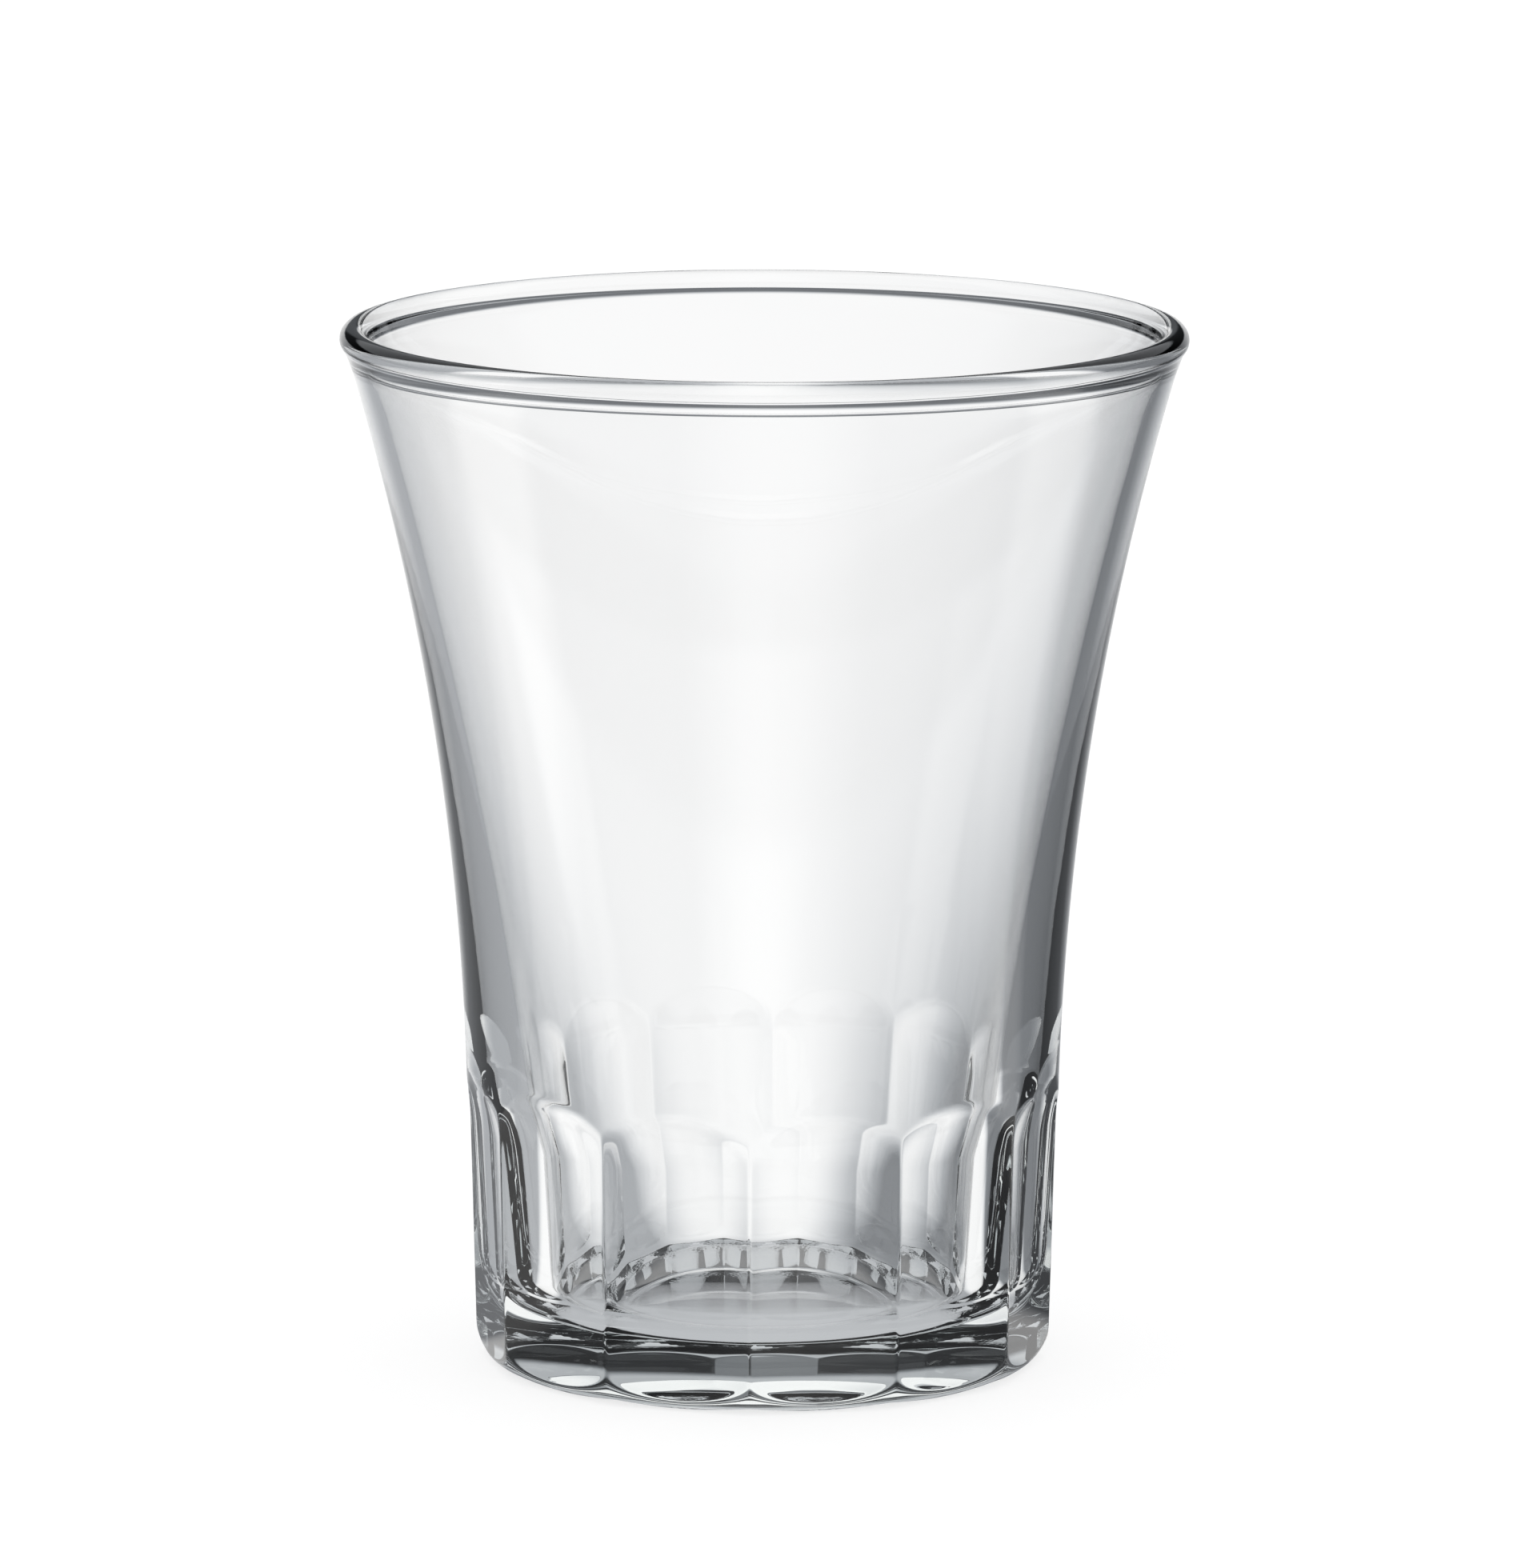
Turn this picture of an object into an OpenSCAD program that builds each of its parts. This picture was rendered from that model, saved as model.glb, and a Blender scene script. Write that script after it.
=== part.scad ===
// Juice glass: a pressed tumbler of clear glass, with a flared bowl,
// a rounded bead at the rim and a heavy foot with flat facets that end in arches.
// The origin is the middle of the table face and +Z runs up through the mouth.

/* [Overall] */
// Height from the table to the top of the rim
glass_h = 90; // [80:1:110]
// Widest diameter, across the bead at the rim
rim_d = 72.6; // [68:0.1:84]
// Diameter that the drafted side of the foot would have at table level
foot_d = 49.8; // [46:0.1:54]
// Draft of the foot's side, in degrees
foot_draft = 1.5; // [1:0.1:2.5]
// Height where the straight side of the foot turns into the flare
flare_h = 24.4; // [23:0.1:34]

/* [Rim] */
// Thickness of the rounded bead at the rim
rim_t = 2.3; // [1.8:0.1:3.2]
// How far the bead stands proud of the side below it
bead_proud = 0.3; // [0.1:0.05:0.6]

/* [Bowl] */
// Thickness of the base, from the table to the floor of the bowl
floor_t = 5; // [4:0.1:10]
// Wall where the flare starts, from the bowl to the drafted side
foot_wall = 4.7; // [4:0.1:6]
// Radius of the long curve of the bowl's side
bowl_curve_r = 480; // [300:10:1200]
// Radius of the round between the bowl's side and its floor
bowl_heel_r = 4; // [3:0.1:9]

/* [Facets] */
// Number of facets round the foot
facet_n = 12; // [10:2:14]
// Depth of a facet's middle below the drafted side
facet_depth = 1; // [0.9:0.01:1.6]
// Height where a facet starts to run out into its arch
facet_h = 20.9; // [14:0.1:22]
// Radius of the curve that runs a facet out
runout_r = 12; // [8:1:30]
// Turn of the facets about the axis, in degrees
facet_turn = 12.5; // [0:0.1:30]

/* [Foot] */
// Height where the heel starts to round in
heel_h = 3.3; // [2.5:0.1:5]
// Radius of the heel
heel_r = 3.5; // [3.4:0.1:8]
// Radius of the small round between the heel and the table face
edge_r = 0.8; // [0.4:0.1:1.4]
// Diameter of the shallow hollow under the foot
hollow_d = 40; // [20:1:41]
// Depth of the hollow at the axis
hollow_depth = 0.8; // [0.3:0.1:2.5]
// Depth, at the edge of the table face, of the grooves that part the foot's petals
groove_depth = 0.3; // [0.2:0.05:0.6]
// Half width of a groove where it meets the table face
groove_half_w = 4.8; // [2:0.1:5]

/* [Hidden] */

// Sides of the true circles: short arcs, long arcs and turned surfaces
arc_fn = 96;
long_arc_fn = 2880;
turn_fn = 240;

// Overrun of the cutters past the surfaces that they open
overrun = foot_wall / 2;

// How much steeper than the drafted side the flare is where it crosses it
flare_lean_share = 0.15;

// How far two curves that touch dip into one another, so that they meet in a clean line
dip_share = 0.0005;

// How far the side of the bowl runs into the bead
bead_dip_share = 0.02;

// How much higher every other facet stands, so that just three faces meet at each corner of a ridge
stagger_share = 0.002;

// Radius of the drafted side at height z
function drafted_r(z) = foot_d / 2 + z * tan(foot_draft);

// Centre of a curve of radius r through the points a and b, on the outer side of their chord
function curve_centre(a, b, r) =
    let (chord = b - a, half = norm(chord) / 2, away = [chord[1], -chord[0]] / norm(chord))
    (a + b) / 2 + away * sqrt(r * r - half * half);

// The bead at the rim
bead_r = rim_t / 2;
bead_h = glass_h - bead_r;
bead_axis_r = rim_d / 2 - bead_r;

// The flare crosses the drafted side at a hair's breadth of an angle and passes under the bead
side_out = [cos(foot_draft), -sin(foot_draft)];
flare_lean = foot_draft * (1 + flare_lean_share);
flare_out = [cos(flare_lean), -sin(flare_lean)];
flare_start = [drafted_r(flare_h), flare_h];
flare_end = [rim_d / 2 - bead_proud, bead_h];
flare_chord = flare_end - flare_start;
flare_r = (flare_chord * flare_chord) / (2 * (flare_chord * flare_out));
flare_axis = flare_start + flare_r * flare_out;
flare_dip_h = flare_axis[1] - flare_r * side_out[1];

// The side of the bowl runs from the bead's inner edge down towards the floor
bowl_top = [bead_axis_r - bead_r * (1 - bead_dip_share), bead_h];
bowl_low = [drafted_r(flare_h) - foot_wall, flare_h];
bowl_axis = curve_centre(bowl_low, bowl_top, bowl_curve_r);

// The round at the floor touches the floor and dips into the side of the bowl
bowl_heel_h = floor_t + bowl_heel_r;
bowl_reach = bowl_curve_r + bowl_heel_r * (1 - dip_share);
bowl_heel_drop = bowl_heel_h - bowl_axis[1];
floor_r = bowl_axis[0] - sqrt(bowl_reach * bowl_reach - bowl_heel_drop * bowl_heel_drop);
bowl_heel_axis = [floor_r, bowl_heel_h];
bowl_touch = bowl_axis + (bowl_heel_axis - bowl_axis) * bowl_curve_r / bowl_reach;

// The heel leaves the drafted side at heel_h, and the edge round dips through it
heel_axis = [drafted_r(heel_h) - heel_r, heel_h];
edge_reach = heel_r * (1 + dip_share) - edge_r;
edge_drop = heel_h - edge_r;
edge_axis = [heel_axis[0] + sqrt(edge_reach * edge_reach - edge_drop * edge_drop), edge_r];
edge_touch_h = heel_h - edge_drop * heel_r / edge_reach;

// The hollow under the foot is part of a sphere
hollow_sphere_r = (hollow_d * hollow_d / 4 + hollow_depth * hollow_depth) / (2 * hollow_depth);

// A facet's plane has the draft of the side, and its run-out curves away from it
facet_low = [drafted_r(-overrun) - facet_depth, -overrun];
facet_top = [drafted_r(facet_h) - facet_depth, facet_h];
runout_axis = facet_top + runout_r * (1 - dip_share) * side_out;
facet_half_w = drafted_r(facet_h) * tan(180 / facet_n) + overrun;
facet_lift = facet_h * stagger_share;

// A groove starts within the hollow and reaches its depth at the edge of the table face
groove_start = hollow_d / 2 - overrun / 2;
groove_run = edge_axis[0] - groove_start;
groove_slope = atan(groove_depth / groove_run);
groove_len = foot_d / 2 - groove_start + overrun;
groove_below_share = 3;

// Cross-section of the glass without its bowl, from the axis outwards
module outer_half() {
    polygon([[0, heel_h], [drafted_r(heel_h), heel_h], [drafted_r(bead_h), bead_h], [0, bead_h]]);
    difference() {
        translate([0, flare_dip_h]) square([rim_d / 2, bead_h - flare_dip_h]);
        translate(flare_axis) circle(r = flare_r, $fn = long_arc_fn);
    }
    square([edge_axis[0], heel_h + overrun]);
    intersection() {
        translate(heel_axis) circle(r = heel_r, $fn = arc_fn * 4);
        translate([0, edge_touch_h]) square([foot_d, 2 * heel_r]);
    }
    translate(edge_axis) circle(r = edge_r, $fn = arc_fn);
}

// The shallow hollow under the foot
module hollow() {
    translate([0, 0, hollow_depth - hollow_sphere_r]) sphere(r = hollow_sphere_r, $fn = long_arc_fn / 8);
}

// Cross-section of the bowl, from the axis outwards
module bowl_half() {
    polygon([
        [0, floor_t],
        [floor_r, floor_t],
        bowl_touch,
        [0, bowl_touch[1]]
    ]);
    translate(bowl_heel_axis) circle(r = bowl_heel_r, $fn = arc_fn * 2);
    difference() {
        translate([0, bowl_touch[1]]) square([rim_d / 2, glass_h - bowl_touch[1]]);
        translate(bowl_axis) circle(r = bowl_curve_r, $fn = long_arc_fn);
    }
    translate([0, bead_h]) square([bead_axis_r, bead_r + overrun]);
}

// Cross-section of the rim's bead, which the bowl leaves whole
module bead_half() {
    translate([bead_axis_r, bead_h]) circle(r = bead_r, $fn = arc_fn);
}

// What one facet takes off: a flat with draft, then a curve that runs out of the side
module facet_cut() {
    rotate([90, 0, 0])
        linear_extrude(height = 2 * facet_half_w, center = true) {
            polygon([facet_low, [foot_d, -overrun], [foot_d, facet_h], facet_top]);
            translate(runout_axis) circle(r = runout_r, $fn = arc_fn * 4);
        }
}

// What one groove takes off: a shallow V that deepens outwards
module groove_cut() {
    translate([groove_start, 0, 0])
        rotate([0, -groove_slope, 0])
        rotate([90, 0, 90])
        linear_extrude(height = groove_len)
        scale(groove_below_share)
        polygon([[0, 0], [-groove_half_w, -groove_depth], [groove_half_w, -groove_depth]]);
}

// The whole glass, which is one piece of pressed glass
module tumbler() {
    color("aliceblue", 0.4)
        difference() {
            rotate_extrude($fn = turn_fn)
                union() {
                    difference() {
                        outer_half();
                        bowl_half();
                    }
                    bead_half();
                }
            hollow();
            for (i = [0:facet_n - 1])
                rotate([0, 0, facet_turn + i * 360 / facet_n])
                    translate([0, 0, i % 2 * facet_lift])
                    facet_cut();
            for (i = [0:facet_n - 1])
                rotate([0, 0, facet_turn + (i + 1 / 2) * 360 / facet_n])
                    groove_cut();
        }
}

tumbler();
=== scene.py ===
import math

import bmesh
import bpy
import numpy as np
from bpy.props import FloatProperty, FloatVectorProperty, IntProperty, PointerProperty
from mathutils import Matrix, Vector


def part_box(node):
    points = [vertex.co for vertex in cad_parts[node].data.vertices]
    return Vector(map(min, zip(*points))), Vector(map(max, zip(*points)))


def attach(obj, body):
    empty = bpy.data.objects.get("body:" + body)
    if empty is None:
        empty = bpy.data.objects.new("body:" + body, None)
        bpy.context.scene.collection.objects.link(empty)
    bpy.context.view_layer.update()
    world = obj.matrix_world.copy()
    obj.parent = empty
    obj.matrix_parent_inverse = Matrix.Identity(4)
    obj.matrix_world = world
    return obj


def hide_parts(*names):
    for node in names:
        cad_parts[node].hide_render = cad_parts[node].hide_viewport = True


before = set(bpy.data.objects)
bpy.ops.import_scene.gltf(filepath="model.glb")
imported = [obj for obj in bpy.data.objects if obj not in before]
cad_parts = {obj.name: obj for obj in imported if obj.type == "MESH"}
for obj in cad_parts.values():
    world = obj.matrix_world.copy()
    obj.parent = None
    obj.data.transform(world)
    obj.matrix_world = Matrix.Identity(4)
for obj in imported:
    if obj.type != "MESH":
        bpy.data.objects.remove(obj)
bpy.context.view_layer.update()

bl_info = {
    "name": "Pressed juice glass",
    "version": (1, 0, 0),
    "blender": (4, 5, 0),
    "location": "3D View > Sidebar > Juice glass",
    "description": "Models a pressed juice glass with a faceted foot, and a pale studio round it",
    "category": "Object",
}

GLASS_LOW, GLASS_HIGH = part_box("tumbler")
GLASS_H = GLASS_HIGH[2] - GLASS_LOW[2]
RIM_D = GLASS_HIGH[0] - GLASS_LOW[0]

# Points along each stretch of the half section, and columns round the axis
HOLLOW_POINTS = 14
FACE_POINTS = 14
EDGE_POINTS = 5
HEEL_POINTS = 44
SIDE_POINTS = 14
ARCH_POINTS = 44
FLARE_POINTS = 34
BEAD_POINTS = 26
BOWL_POINTS = 44
BOWL_HEEL_POINTS = 18
FLOOR_POINTS = 6
COLUMNS = 360

# Points nearer than this are one point
MERGE = 1e-7

# How strongly the columns gather at the ridges
RIDGE_GATHER = 0.8

# Share of the run-out below and above a facet's end that has close points
ARCH_BELOW_SHARE = 1 / 24
ARCH_ABOVE_SHARE = 1 / 2

# Where the bead leaves the side below it
BEAD_START = -0.9

# The room that the glass shows: where its parts lie, and how softly they end
BACKDROP_TURN = math.radians(4)
BACKDROP_FADE = 0.045
STRIP_HALF_W = (0.09, 0.17)
SIDE_FULL = 0.99
RIGHT_TURN = math.radians(-45)
RIGHT_HALF_W = (math.radians(38), math.radians(12))
CEILING_FADE = 0.05
# Radii where the floor's painted pool of light under the glass fades out
PAINTED_LIGHT_UNDER_R = (0.020, 0.026)

# The floor and its white, and how near and far the camera sees
WHITE = (1, 1, 1)
FLOOR_R = 3
FLOOR_SIDES = 96
FLOOR_GREY = 0.35
CLIP = (0.01, 20)


class GlassSizes(bpy.types.PropertyGroup):
    """Sizes of the glass, in metres."""

    height: FloatProperty(
        name="Height", description="From the table to the top of the rim",
        default=GLASS_H, unit="LENGTH")
    rim_d: FloatProperty(
        name="Rim width", description="Widest diameter, across the bead", default=RIM_D, unit="LENGTH")
    foot_d: FloatProperty(
        name="Foot width", description="Diameter of the drafted side at table level",
        default=0.0498, unit="LENGTH")
    draft: FloatProperty(
        name="Draft", description="Lean of the foot's side", default=math.radians(1.5), subtype="ANGLE")
    flare_h: FloatProperty(
        name="Flare start", description="Height where the side starts to flare",
        default=0.0244, unit="LENGTH")
    rim_t: FloatProperty(
        name="Bead", description="Thickness of the bead at the rim", default=0.0023, unit="LENGTH")
    bead_proud: FloatProperty(
        name="Bead step", description="How far the bead stands proud", default=0.0003, unit="LENGTH")
    floor_t: FloatProperty(
        name="Base thickness", description="From the table to the floor of the bowl",
        default=0.005, unit="LENGTH")
    foot_wall: FloatProperty(
        name="Wall at the flare", description="Wall where the flare starts",
        default=0.0047, unit="LENGTH")
    bowl_curve_r: FloatProperty(
        name="Bowl curve", description="Radius of the long curve of the bowl",
        default=0.48, unit="LENGTH")
    bowl_heel_r: FloatProperty(
        name="Bowl heel", description="Round between the bowl's side and floor",
        default=0.004, unit="LENGTH")
    facet_n: IntProperty(name="Facets", description="Number of facets round the foot", default=12)
    facet_depth: FloatProperty(
        name="Facet depth", description="Depth of a facet's middle", default=0.001, unit="LENGTH")
    facet_h: FloatProperty(
        name="Facet height", description="Height where a facet starts to run out",
        default=0.0209, unit="LENGTH")
    runout_r: FloatProperty(
        name="Run-out", description="Radius of the curve that ends a facet",
        default=0.012, unit="LENGTH")
    facet_turn: FloatProperty(
        name="Facet turn", description="Turn of the facets",
        default=math.radians(12.5), subtype="ANGLE")
    heel_h: FloatProperty(
        name="Heel height", description="Height where the heel rounds in",
        default=0.0033, unit="LENGTH")
    heel_r: FloatProperty(
        name="Heel", description="Radius of the heel", default=0.0035, unit="LENGTH")
    edge_r: FloatProperty(
        name="Foot edge", description="Round between heel and table face",
        default=0.0008, unit="LENGTH")
    hollow_d: FloatProperty(
        name="Hollow width", description="Diameter of the hollow under the foot",
        default=0.04, unit="LENGTH")
    hollow_depth: FloatProperty(
        name="Hollow depth", description="Depth of the hollow at the axis",
        default=0.0008, unit="LENGTH")
    groove_depth: FloatProperty(
        name="Groove depth", description="Depth of a groove at the foot's edge",
        default=0.0003, unit="LENGTH")
    groove_half_w: FloatProperty(
        name="Groove half width", description="Half width of a groove", default=0.0048, unit="LENGTH")
    ridge_soft: FloatProperty(
        name="Ridge softness", description="Blend between two facets", default=0.0001, unit="LENGTH")
    arch_soft: FloatProperty(
        name="Arch softness", description="Blend between a facet and the side",
        default=0.00025, unit="LENGTH")


class GlassLook(bpy.types.PropertyGroup):
    """Look of the glass."""

    tint: FloatVectorProperty(
        name="Tint", description="Colour of the glass", default=(1.0, 1.0, 1.0), subtype="COLOR")
    ior: FloatProperty(name="Refraction", description="Index of refraction", default=1.52)
    depth_tint: FloatVectorProperty(
        name="Depth tint", description="Colour that thick glass takes",
        default=(0.80, 0.90, 0.86), subtype="COLOR")
    depth_density: FloatProperty(
        name="Depth density", description="Strength of the thick glass's colour, per metre",
        default=6.0)
    mark_tint: FloatVectorProperty(
        name="Mark tint", description="Colour of specks and scratches",
        default=(0.9, 0.9, 0.9), subtype="COLOR")
    mark_frost: FloatProperty(
        name="Mark frost", description="Roughness of specks and scratches",
        default=0.25)
    foot_frost: FloatProperty(
        name="Foot frost", description="Roughness of the table face",
        default=0.12)
    wave_h: FloatProperty(
        name="Wave height", description="Height of the slow waves",
        default=0.00003, unit="LENGTH", precision=6)
    stipple_h: FloatProperty(
        name="Stipple height", description="Depth of the pits in the table face",
        default=0.00003, unit="LENGTH", precision=6)


class StudioLook(bpy.types.PropertyGroup):
    """Camera and light."""

    plain_level: FloatProperty(
        name="Plain light", description="Light that falls on everything",
        default=0.95)
    side_level: FloatProperty(
        name="Side level", description="Brightness of the grey between the room's white sides",
        default=0.45)
    backdrop_w: FloatProperty(
        name="Backdrop width", description="How far to the side the backdrop's light reaches, from 0 to 1",
        default=0.85)
    backdrop_full: FloatProperty(
        name="Backdrop middle", description="How far to the side the backdrop is fully white, from 0 to 1",
        default=0.05)
    gap_level: FloatProperty(
        name="Gap level", description="Share of light above the backdrop and below the ceiling",
        default=0.03)
    side_start: FloatProperty(
        name="Side start", description="How far to the side the white sides start, from 0 to 1",
        default=0.94)
    strip_level: FloatProperty(
        name="Strip level", description="Share of light straight above the backdrop's middle",
        default=0.18)
    backdrop_top: FloatProperty(
        name="Backdrop top", description="Elevation of the backdrop's upper edge",
        default=math.radians(3.5), subtype="ANGLE")
    ceiling_low: FloatProperty(
        name="Ceiling edge", description="Elevation of the ceiling's lower edge",
        default=math.radians(14), subtype="ANGLE")
    ceiling_level: FloatProperty(
        name="Ceiling level", description="Brightness of the ceiling",
        default=0.5)
    right_level: FloatProperty(
        name="Right level", description="Brightness of the room's right side",
        default=0.22)
    # Painted light: how bright the floor under the glass glows for rays through or off the glass
    floor_under_painted_light: FloatProperty(
        name="Floor under", description="Brightness of the floor under the glass, seen through it",
        default=0.55)
    # Also tints the floor's painted shade
    cool: FloatVectorProperty(
        name="Cool grey", description="Tint of the room's dark parts",
        default=(0.86, 0.92, 1.0), subtype="COLOR")
    floor_glow: FloatProperty(
        name="Floor glow", description="Light added to the floor where the camera sees it",
        default=0.74)
    camera_distance: FloatProperty(
        name="Camera distance", description="From the camera to the glass", default=1.1, unit="LENGTH")
    camera_pitch: FloatProperty(
        name="Camera pitch", description="How far the camera looks down",
        default=math.radians(9.92), subtype="ANGLE")
    camera_roll: FloatProperty(
        name="Camera roll", description="Lean of the picture",
        default=math.radians(0.12), subtype="ANGLE")
    lens: FloatProperty(name="Lens", description="Focal length in millimetres", default=293.9)
    aim_h: FloatProperty(
        name="Aim height", description="Height on the glass's axis that the camera looks at",
        default=0.05013, unit="LENGTH")
    aim_left: FloatProperty(
        name="Aim left", description="How far left of the axis the camera looks",
        default=0.0006, unit="LENGTH")


def smooth_min(a, b, soft):
    """The smaller of a and b, blended where they differ by less than soft."""
    near = np.clip(1 - np.abs(a - b) / soft, 0, 1)
    return np.minimum(a, b) - near * near * soft / 4


def line(a, b, n):
    """n points from a towards b, without b."""
    return [Vector(a).lerp(Vector(b), i / n) for i in range(n)]


def arc(centre, r, start, end, n):
    """n points round centre from angle start towards end, without the last."""
    angles = [start + (end - start) * i / n for i in range(n)]
    return [Vector((centre[0] + r * math.cos(a), centre[1] + r * math.sin(a))) for a in angles]


class Profile:
    """The half section of the glass, worked out from its sizes."""

    def __init__(self, s):
        self.s = s
        self.bead_r = s.rim_t / 2
        self.bead = Vector((s.rim_d / 2 - self.bead_r, s.height - self.bead_r))
        self.out = Vector((math.cos(s.draft), -math.sin(s.draft)))
        start = Vector((self.drafted(s.flare_h), s.flare_h))
        end = Vector((s.rim_d / 2 - s.bead_proud, self.bead[1]))
        chord = end - start
        self.flare_r = chord.dot(chord) / (2 * chord.dot(self.out))
        self.flare = start + self.flare_r * self.out
        self.bowl_top = Vector((self.bead[0] - self.bead_r, self.bead[1]))
        bowl_low = Vector((start[0] - s.foot_wall, s.flare_h))
        chord = self.bowl_top - bowl_low
        away = Vector((chord[1], -chord[0])).normalized()
        half = chord.length / 2
        self.bowl = (bowl_low + self.bowl_top) / 2 + away * math.sqrt(s.bowl_curve_r ** 2 - half ** 2)
        reach = s.bowl_curve_r + s.bowl_heel_r
        drop = s.floor_t + s.bowl_heel_r - self.bowl[1]
        floor_r = self.bowl[0] - math.sqrt(reach ** 2 - drop ** 2)
        self.bowl_heel = Vector((floor_r, s.floor_t + s.bowl_heel_r))
        self.heel = Vector((self.drafted(s.heel_h) - s.heel_r, s.heel_h))
        reach, drop = s.heel_r - s.edge_r, s.heel_h - s.edge_r
        self.edge = Vector((self.heel[0] + math.sqrt(reach ** 2 - drop ** 2), s.edge_r))
        self.edge_turn = math.atan2(self.edge[1] - self.heel[1], self.edge[0] - self.heel[0])
        self.hollow_r = (s.hollow_d ** 2 / 4 + s.hollow_depth ** 2) / (2 * s.hollow_depth)

    def drafted(self, z):
        """Radius of the drafted side at height z."""
        return self.s.foot_d / 2 + z * math.tan(self.s.draft)

    def points(self):
        """Points of the half section, from the axis under the foot to the axis over the bowl's floor."""
        s = self.s
        half_hollow = math.asin(s.hollow_d / 2 / self.hollow_r)
        hollow_low = Vector((0, s.hollow_depth - self.hollow_r))
        quarter = math.pi / 2
        arch_low = s.facet_h - s.runout_r * ARCH_BELOW_SHARE
        arch_high = s.facet_h + s.runout_r * ARCH_ABOVE_SHARE
        flare_turn = math.asin((self.flare[1] - arch_high) / self.flare_r)
        bead_turn = math.asin((self.flare[1] - (self.bead[1] - self.bead_r)) / self.flare_r)
        bowl_turn = math.atan2(self.bowl_top[1] - self.bowl[1], self.bowl_top[0] - self.bowl[0])
        heel_line = self.bowl_heel - self.bowl
        bowl_end = math.atan2(heel_line[1], heel_line[0])
        if bowl_turn < 0:
            bowl_turn += 2 * math.pi
        if bowl_end < 0:
            bowl_end += 2 * math.pi
        rows = arc(hollow_low, self.hollow_r, quarter, quarter - half_hollow, HOLLOW_POINTS)
        rows += line((s.hollow_d / 2, 0), (self.edge[0], 0), FACE_POINTS)
        rows += arc(self.edge, s.edge_r, -quarter, self.edge_turn, EDGE_POINTS)
        rows += arc(self.heel, s.heel_r, self.edge_turn, 0, HEEL_POINTS)
        rows += line((self.drafted(s.heel_h), s.heel_h), (self.drafted(arch_low), arch_low), SIDE_POINTS)
        heights = np.linspace(arch_low, arch_high, ARCH_POINTS, endpoint=False)
        rows += [Vector((self.side_r(z), z)) for z in heights]
        rows += arc(self.flare, self.flare_r, math.pi + flare_turn, math.pi + bead_turn, FLARE_POINTS)
        rows += arc(self.bead, self.bead_r, BEAD_START, math.pi, BEAD_POINTS)
        rows += arc(self.bowl, s.bowl_curve_r, bowl_turn, bowl_end, BOWL_POINTS)
        rows += arc(self.bowl_heel, s.bowl_heel_r, bowl_end - math.pi, -quarter, BOWL_HEEL_POINTS)
        rows += line((self.bowl_heel[0], s.floor_t), (0, s.floor_t), FLOOR_POINTS)
        return rows + [Vector((0, s.floor_t))]

    def side_r(self, z):
        """Radius of the side at height z, below the bead."""
        if z <= self.s.flare_h:
            return self.drafted(z)
        return self.flare[0] - math.sqrt(self.flare_r ** 2 - (z - self.flare[1]) ** 2)

    def facet_reach(self, z):
        """Distance from the axis to a facet's plane and its run-out, for an array of heights."""
        s = self.s
        flat = s.foot_d / 2 + z * math.tan(s.draft) - s.facet_depth
        top = Vector((self.drafted(s.facet_h) - s.facet_depth, s.facet_h))
        axis = top + s.runout_r * self.out
        rise = np.clip((z - axis[1]) / s.runout_r, -1, 1)
        curve = axis[0] - s.runout_r * np.sqrt(1 - rise ** 2)
        return np.where(z < s.facet_h, flat, curve)


def deselect_all():
    """Nothing is selected afterwards, and no object is in edit mode."""
    if bpy.context.object and bpy.context.object.mode != "OBJECT":
        bpy.ops.object.mode_set(mode="OBJECT")
    bpy.ops.object.select_all(action="DESELECT")


def spin_profile(name, rows, steps):
    """Bends an open ring of points into the half section and spins it round the axis."""
    deselect_all()
    bpy.ops.mesh.primitive_circle_add(vertices=len(rows), radius=rows[0][1] + 1, fill_type="NOTHING")
    piece = bpy.context.object
    piece.name = piece.data.name = name
    mesh = piece.data
    for vertex, point in zip(mesh.vertices, rows):
        vertex.co = (point[0], 0, point[1])
    bpy.ops.object.mode_set(mode="EDIT")
    bpy.ops.mesh.select_mode(type="EDGE")
    bpy.ops.mesh.select_all(action="DESELECT")
    work = bmesh.from_edit_mesh(mesh)
    for edge in work.edges:
        edge.select_set(abs(edge.verts[0].index - edge.verts[1].index) != 1)
    bmesh.update_edit_mesh(mesh)
    bpy.ops.mesh.delete(type="EDGE")
    bpy.ops.object.mode_set(mode="OBJECT")
    bpy.ops.object.modifier_add(type="SCREW")
    turn = piece.modifiers[-1]
    turn.steps = turn.render_steps = steps
    turn.use_merge_vertices = True
    turn.merge_threshold = MERGE
    bpy.ops.object.modifier_apply(modifier=turn.name)
    bpy.ops.object.mode_set(mode="EDIT")
    bpy.ops.mesh.select_all(action="SELECT")
    bpy.ops.mesh.remove_doubles(threshold=MERGE)
    bpy.ops.mesh.normals_make_consistent(inside=False)
    bpy.ops.object.mode_set(mode="OBJECT")
    return piece


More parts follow.
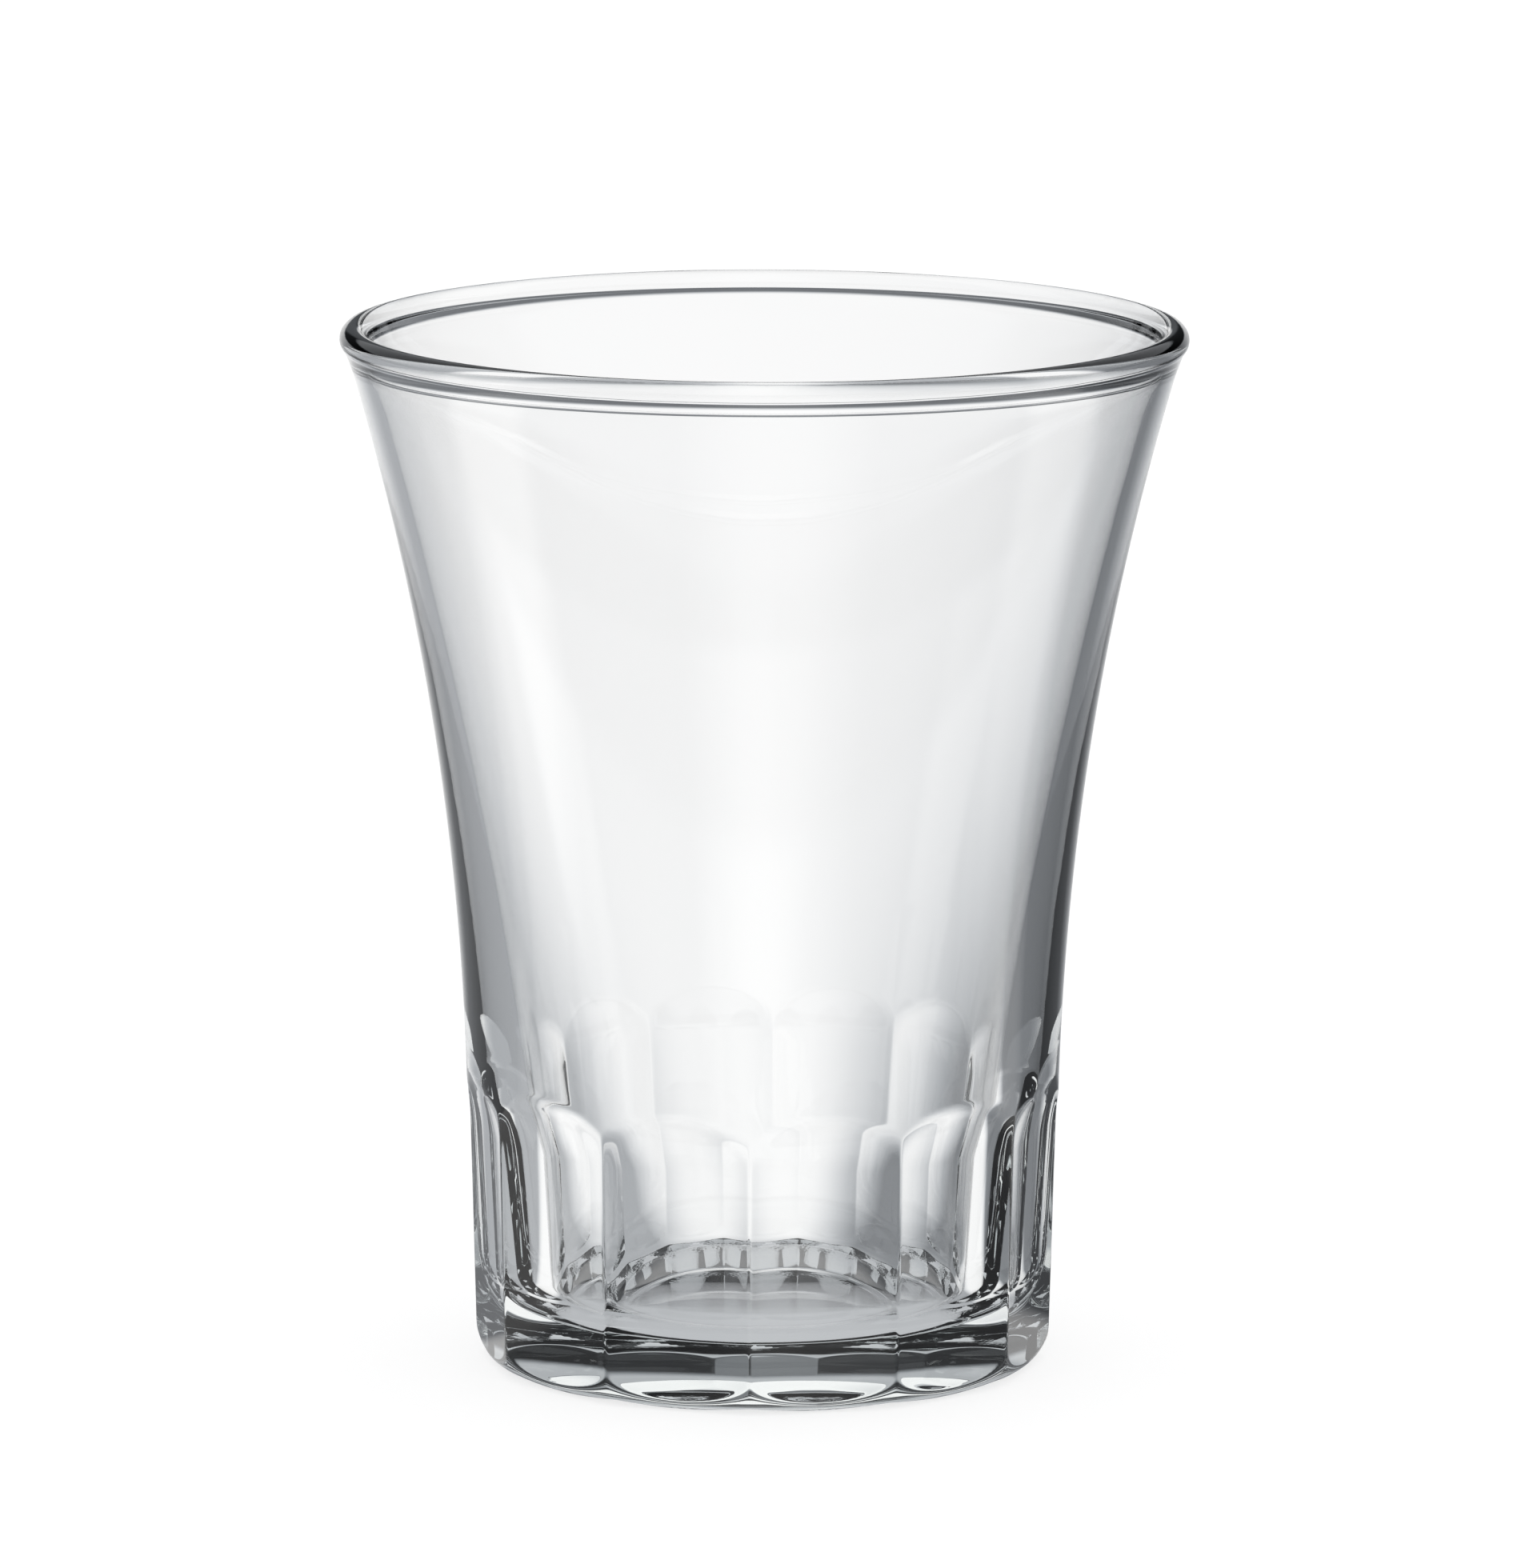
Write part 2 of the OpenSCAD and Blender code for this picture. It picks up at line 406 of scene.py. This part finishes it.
def press_foot(piece, profile):
    """Gathers the columns at the ridges, then presses the facets, their arches and the grooves."""
    s = profile.s
    mesh = piece.data
    co = np.empty(len(mesh.vertices) * 3)
    mesh.vertices.foreach_get("co", co)
    co = co.reshape(-1, 3)
    r = np.hypot(co[:, 0], co[:, 1])
    z = co[:, 2].copy()
    pitch = 2 * math.pi / s.facet_n
    turned = np.arctan2(co[:, 1], co[:, 0]) / pitch
    facet = np.round(turned)
    share = (turned - facet) * 2
    share = share + RIDGE_GATHER * np.sin(math.pi * share) / math.pi
    off = share * pitch / 2
    angle = facet * pitch + off + s.facet_turn
    reach = profile.facet_reach(z)
    near = reach / np.cos(off)
    beside = reach / np.cos(pitch - np.abs(off))
    pressed = smooth_min(near, beside, s.ridge_soft)
    pressed = smooth_min(r, pressed, s.arch_soft)
    under = r > s.hollow_d / 4
    r = np.where(under & (r > s.bowl_heel_r), np.minimum(r, pressed), r)
    ridge_off = pitch / 2 - np.abs(off)
    along, across = r * np.cos(ridge_off), r * np.sin(ridge_off)
    start = s.hollow_d / 2 - s.foot_wall / 4
    slope = s.groove_depth / (profile.edge[0] - start)
    groove = slope * (along - start) - across * s.groove_depth / s.groove_half_w
    cut = (z < s.heel_h / 2) & (r > start)
    z = np.where(cut, -smooth_min(-z, -groove, s.groove_depth / 4), z)
    co[:, 0], co[:, 1], co[:, 2] = r * np.cos(angle), r * np.sin(angle), z
    mesh.vertices.foreach_set("co", co.reshape(-1))
    mesh.update()


class ShaderTree:
    """Adds nodes to a node tree, and joins what they are given."""

    def __init__(self, tree):
        self.nodes, self.links = tree.nodes, tree.links

    def add(self, kind, *inputs, **settings):
        """A node of a kind, with sockets or plain values for its first inputs."""
        node = self.nodes.new(kind)
        for name, value in settings.items():
            setattr(node, name, value)
        for socket, value in zip(node.inputs, inputs):
            self.give(socket, value)
        return node

    def give(self, socket, value):
        """Feeds a socket with another socket or with a plain value."""
        if isinstance(value, bpy.types.NodeSocket):
            self.links.new(value, socket)
        elif value is not None:
            socket.default_value = value

    def math(self, operation, a, b):
        """The result of a sum on two sockets or values."""
        return self.add("ShaderNodeMath", a, b, operation=operation).outputs[0]

    def ramp(self, value, low, high, at_low, at_high):
        """A smooth change from at_low to at_high while value goes from low to high."""
        kind = "ShaderNodeMapRange"
        return self.add(kind, value, low, high, at_low, at_high, interpolation_type="SMOOTHSTEP").outputs[0]

    def blend(self, share, first, second):
        """A colour between two colours, which is the second where the share is 1."""
        node = self.add("ShaderNodeMix", share, data_type="RGBA")
        first_socket, second_socket, result = node.inputs[6], node.inputs[7], node.outputs[2]
        self.give(first_socket, (*first, 1))
        self.give(second_socket, (*second, 1))
        return result

    def noise(self, place, scale, detail=2.0):
        """Cloudy noise at a place, between 0 and 1, with scale in lumps to the metre."""
        node = self.add("ShaderNodeTexNoise", place)
        node.inputs["Scale"].default_value = scale
        node.inputs["Detail"].default_value = detail
        return node.outputs["Fac"]

    def group(self, shared, place):
        """A shared group fed with a place."""
        node = self.add("ShaderNodeGroup")
        node.node_tree = shared
        self.links.new(place, node.inputs["Place"])
        return node.outputs


def start_group(name, *results):
    """A node group that takes a place and gives the named values: its tree, place and way out."""
    tree = bpy.data.node_groups.new(name, "ShaderNodeTree")
    tree.interface.new_socket("Place", in_out="INPUT", socket_type="NodeSocketVector")
    for result in results:
        tree.interface.new_socket(result, in_out="OUTPUT", socket_type="NodeSocketFloat")
    shader = ShaderTree(tree)
    return shader, shader.add("NodeGroupInput").outputs["Place"], shader.add("NodeGroupOutput").inputs


def pressed_waves():
    """Height of the slow waves and faint ripples that a mould and the fire polish leave."""
    tree, place, out = start_group("pressed_waves", "Height")
    waves_per_m = 45
    ripples_per_m = 260
    ripple_share = 0.06
    slow = tree.noise(place, waves_per_m, 1.0)
    ripple = tree.math("MULTIPLY", tree.noise(place, ripples_per_m), ripple_share)
    tree.give(out["Height"], tree.math("ADD", slow, ripple))
    return bpy.data.node_groups["pressed_waves"]


def handling_marks():
    """Mask of a few specks and short fine scratches."""
    tree, place, out = start_group("handling_marks", "Mask")
    specks_per_m = 150
    speck_clouds_per_m = 90
    speck_cloud_from = 0.68
    speck_r = (0.02, 0.05)
    scratch_turn = (0.5, -0.4, 0.9)
    scratch_stretch = (1, 1, 0.05)
    scratches_per_m = 2600
    scratch_from = (0.79, 0.83)
    patches_per_m = 70
    patch_from = (0.6, 0.7)
    specks = tree.add("ShaderNodeTexVoronoi", place)
    specks.inputs["Scale"].default_value = specks_per_m
    rare = tree.math("GREATER_THAN", tree.noise(place, speck_clouds_per_m), speck_cloud_from)
    dot = tree.math("MULTIPLY", tree.ramp(specks.outputs["Distance"], *speck_r, 1.0, 0.0), rare)
    stretched = tree.add("ShaderNodeMapping", place, None, scratch_turn, scratch_stretch).outputs[0]
    hair = tree.ramp(tree.noise(stretched, scratches_per_m), *scratch_from, 0.0, 1.0)
    patch = tree.ramp(tree.noise(place, patches_per_m), *patch_from, 0.0, 1.0)
    tree.give(out["Mask"], tree.math("MAXIMUM", dot, tree.math("MULTIPLY", hair, patch)))
    return bpy.data.node_groups["handling_marks"]


def foot_stipple():
    """Mask of the table face, and the height of the stipple on it."""
    tree, place, out = start_group("foot_stipple", "Mask", "Height")
    face_h = (0.00005, 0.0002)
    pits_per_m = 1600
    height = tree.add("ShaderNodeSeparateXYZ", place).outputs["Z"]
    face = tree.ramp(height, *face_h, 1.0, 0.0)
    pits = tree.add("ShaderNodeTexVoronoi", place)
    pits.inputs["Scale"].default_value = pits_per_m
    tree.give(out["Mask"], face)
    tree.give(out["Height"], tree.math("MULTIPLY", pits.outputs["Distance"], face))
    return bpy.data.node_groups["foot_stipple"]


def clear_glass(look):
    """Clear pressed glass with slow waves, a few marks and a stippled table face."""
    material = bpy.data.materials.new("clear_glass")
    material.use_nodes = True
    tree = ShaderTree(material.node_tree)
    place = tree.add("ShaderNodeTexCoord").outputs["Object"]
    marks = tree.group(handling_marks(), place)["Mask"]
    stipple = tree.group(foot_stipple(), place)
    waves = tree.group(pressed_waves(), place)["Height"]
    shader = tree.nodes["Principled BSDF"]
    tree.give(shader.inputs["Base Color"], tree.blend(marks, look.tint, look.mark_tint))
    frost = tree.math("MULTIPLY", stipple["Mask"], look.foot_frost)
    dull = tree.math("MULTIPLY", marks, look.mark_frost)
    tree.give(shader.inputs["Roughness"], tree.math("ADD", frost, dull))
    shader.inputs["IOR"].default_value = look.ior
    shader.inputs["Transmission Weight"].default_value = 1
    swell = tree.math("MULTIPLY", waves, look.wave_h)
    height = tree.math("ADD", swell, tree.math("MULTIPLY", stipple["Height"], look.stipple_h))
    bump = tree.add("ShaderNodeBump")
    bump.inputs["Distance"].default_value = 1
    tree.give(bump.inputs["Height"], height)
    tree.give(shader.inputs["Normal"], bump.outputs["Normal"])
    depth = tree.add("ShaderNodeVolumeAbsorption")
    depth.inputs["Color"].default_value = (*look.depth_tint, 1)
    depth.inputs["Density"].default_value = look.depth_density
    tree.links.new(depth.outputs[0], tree.nodes["Material Output"].inputs["Volume"])
    return material


class GLASS_OT_tumbler(bpy.types.Operator):
    """Spin the glass, press its foot and give it its clear glass"""

    bl_idname = "glass.tumbler"
    bl_label = "Tumbler"

    def execute(self, context):
        scene = context.scene
        profile = Profile(scene.glass_sizes)
        piece = spin_profile("pressed_tumbler", profile.points(), COLUMNS)
        press_foot(piece, profile)
        piece.data.shade_smooth()
        piece.data.materials.clear()
        piece.data.materials.append(clear_glass(scene.glass_look))
        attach(piece, "root")
        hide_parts("tumbler")
        return {"FINISHED"}


class GLASS_OT_studio(bpy.types.Operator):
    """Lay the pale floor, set the light and aim the camera"""

    bl_idname = "glass.studio"
    bl_label = "Studio"

    def execute(self, context):
        look = context.scene.studio_look
        lay_floor(look)
        light_room(look)
        aim_camera(look)
        context.scene.view_settings.view_transform = "Standard"
        return {"FINISHED"}


def facing(tree, way, turn):
    """Cosine between a way laid flat and the line that lies turn to the left of straight ahead."""
    flat = tree.add("ShaderNodeVectorMath", way, (1, 1, 0), operation="MULTIPLY").outputs[0]
    flat = tree.add("ShaderNodeVectorMath", flat, operation="NORMALIZE").outputs[0]
    ahead = (-math.sin(turn), math.cos(turn), 0)
    return tree.add("ShaderNodeVectorMath", flat, ahead, operation="DOT_PRODUCT").outputs["Value"]


def beside(tree, way):
    """How far a way lies to the side of the backdrop's middle, from 0 to 1."""
    return tree.math("ABSOLUTE", facing(tree, way, BACKDROP_TURN - math.pi / 2), None)


def walls(tree, way, look):
    """Brightness round the glass: white on four sides, grey between them, darkest behind on the right. The
    world takes it as light, the floor as painted light and shade.
    """
    start, full = math.cos(RIGHT_HALF_W[0]), math.cos(RIGHT_HALF_W[1])
    right = tree.ramp(facing(tree, way, RIGHT_TURN), start, full, 0.0, 1.0)
    grey = tree.ramp(right, 0.0, 1.0, look.side_level, look.right_level)
    backdrop = tree.ramp(beside(tree, way), look.backdrop_full, look.backdrop_w, 1.0, 0.0)
    sides = tree.ramp(beside(tree, way), look.side_start, SIDE_FULL, 0.0, 1.0)
    return tree.math("MAXIMUM", tree.math("MAXIMUM", backdrop, sides), grey)


def seen_through(tree):
    """Light path, and the mask of the rays that come through the glass or off it."""
    path = tree.add("ShaderNodeLightPath").outputs
    return path, tree.math("MAXIMUM", path["Is Transmission Ray"], path["Is Glossy Ray"])


def lay_floor(look):
    """A pale floor with the glass's own shadow, and painted light and shade that only the glass shows:
    white on four sides, grey between them, darkest behind on the right, and a painted pool of light under
    the glass.
    """
    deselect_all()
    bpy.ops.mesh.primitive_circle_add(vertices=FLOOR_SIDES, radius=FLOOR_R, fill_type="NGON")
    floor = bpy.context.object
    floor.name = "floor"
    material = bpy.data.materials.new("pale_floor_painted_light")
    material.use_nodes = True
    tree = ShaderTree(material.node_tree)
    shader = tree.nodes["Principled BSDF"]
    shader.inputs["Base Color"].default_value = (FLOOR_GREY, FLOOR_GREY, FLOOR_GREY, 1)
    shader.inputs["Roughness"].default_value = 1
    shader.inputs["Specular IOR Level"].default_value = 0
    path, through = seen_through(tree)
    shader.inputs["Emission Color"].default_value = (*WHITE, 1)
    seen = tree.math("MULTIPLY", path["Is Camera Ray"], look.floor_glow)
    tree.give(shader.inputs["Emission Strength"], seen)
    # Painted light and shade on the floor for rays through or off the glass: the room's white and grey,
    # cooler where darker, and a painted pool of light under the glass
    place = tree.add("ShaderNodeTexCoord").outputs["Object"]
    away = tree.add("ShaderNodeVectorMath", place, operation="LENGTH").outputs["Value"]
    # Mask of the painted pool of light under the glass
    under = tree.ramp(away, *PAINTED_LIGHT_UNDER_R, 1.0, 0.0)
    painted_light_and_shade = walls(tree, place, look)
    level = tree.add("ShaderNodeMix", under, None, painted_light_and_shade, look.floor_under_painted_light).outputs[0]
    glow = tree.add("ShaderNodeEmission", tree.blend(level, look.cool, WHITE), level)
    both = tree.add("ShaderNodeMixShader", through, shader.outputs[0], glow.outputs[0])
    tree.links.new(both.outputs[0], tree.nodes["Material Output"].inputs["Surface"])
    floor.data.materials.append(material)


def light_room(look):
    """Even light, and a room with white sides, a dark gap and a pale ceiling that only the glass shows."""
    world = bpy.data.worlds.new("studio")
    bpy.context.scene.world = world
    world.use_nodes = True
    tree = ShaderTree(world.node_tree)
    way = tree.add("ShaderNodeTexCoord").outputs["Generated"]
    height = tree.add("ShaderNodeSeparateXYZ", way).outputs["Z"]
    top = math.sin(look.backdrop_top)
    gap = tree.ramp(beside(tree, way), *STRIP_HALF_W, look.strip_level, look.gap_level)
    fade = tree.ramp(height, top, top + BACKDROP_FADE, 1.0, gap)
    wall = tree.math("MULTIPLY", walls(tree, way, look), fade)
    low = math.sin(look.ceiling_low)
    ceiling = tree.ramp(height, low, low + CEILING_FADE, 0.0, look.ceiling_level)
    room = tree.math("MAXIMUM", wall, ceiling)
    path, through = seen_through(tree)
    plain = tree.math("MULTIPLY", tree.math("SUBTRACT", 1.0, through), look.plain_level)
    shown = tree.math("ADD", plain, tree.math("MULTIPLY", through, room))
    shown = tree.math("MAXIMUM", shown, path["Is Camera Ray"])
    tree.give(tree.nodes["Background"].inputs["Strength"], shown)
    tree.give(tree.nodes["Background"].inputs["Color"], tree.blend(shown, look.cool, WHITE))


def aim_camera(look):
    """Puts the camera at the photograph's viewing angle."""
    aim = Vector((-look.aim_left, 0, look.aim_h))
    back = Vector((0, -math.cos(look.camera_pitch), math.sin(look.camera_pitch)))
    data = bpy.data.cameras.new("camera")
    camera = bpy.data.objects.new("camera", data)
    bpy.context.scene.collection.objects.link(camera)
    data.lens = look.lens
    data.clip_start, data.clip_end = CLIP
    turn = (-back).to_track_quat("-Z", "Y").to_matrix().to_4x4()
    place = Matrix.Translation(aim + back * look.camera_distance)
    camera.matrix_world = place @ turn @ Matrix.Rotation(look.camera_roll, 4, "Z")
    bpy.context.scene.camera = camera


class GLASS_PT_sidebar(bpy.types.Panel):
    """Lists the pieces and the studio"""

    bl_idname = "GLASS_PT_sidebar"
    bl_label = "Juice glass"
    bl_space_type = "VIEW_3D"
    bl_region_type = "UI"
    bl_category = "Juice glass"

    def draw(self, context):
        for operator in (GLASS_OT_tumbler, GLASS_OT_studio):
            self.layout.operator(operator.bl_idname)


CLASSES = (GlassSizes, GlassLook, StudioLook, GLASS_OT_tumbler, GLASS_OT_studio, GLASS_PT_sidebar)


def register():
    """Adds the classes, and the sizes and looks that a scene carries."""
    for cls in CLASSES:
        bpy.utils.register_class(cls)
    bpy.types.Scene.glass_sizes = PointerProperty(type=GlassSizes)
    bpy.types.Scene.glass_look = PointerProperty(type=GlassLook)
    bpy.types.Scene.studio_look = PointerProperty(type=StudioLook)


def unregister():
    """Takes away what register added."""
    del bpy.types.Scene.glass_sizes
    del bpy.types.Scene.glass_look
    del bpy.types.Scene.studio_look
    for cls in reversed(CLASSES):
        bpy.utils.unregister_class(cls)


def main():
    """Makes the glass and its studio."""
    register()
    bpy.ops.glass.tumbler()
    bpy.ops.glass.studio()


if __name__ == "__main__":
    main()
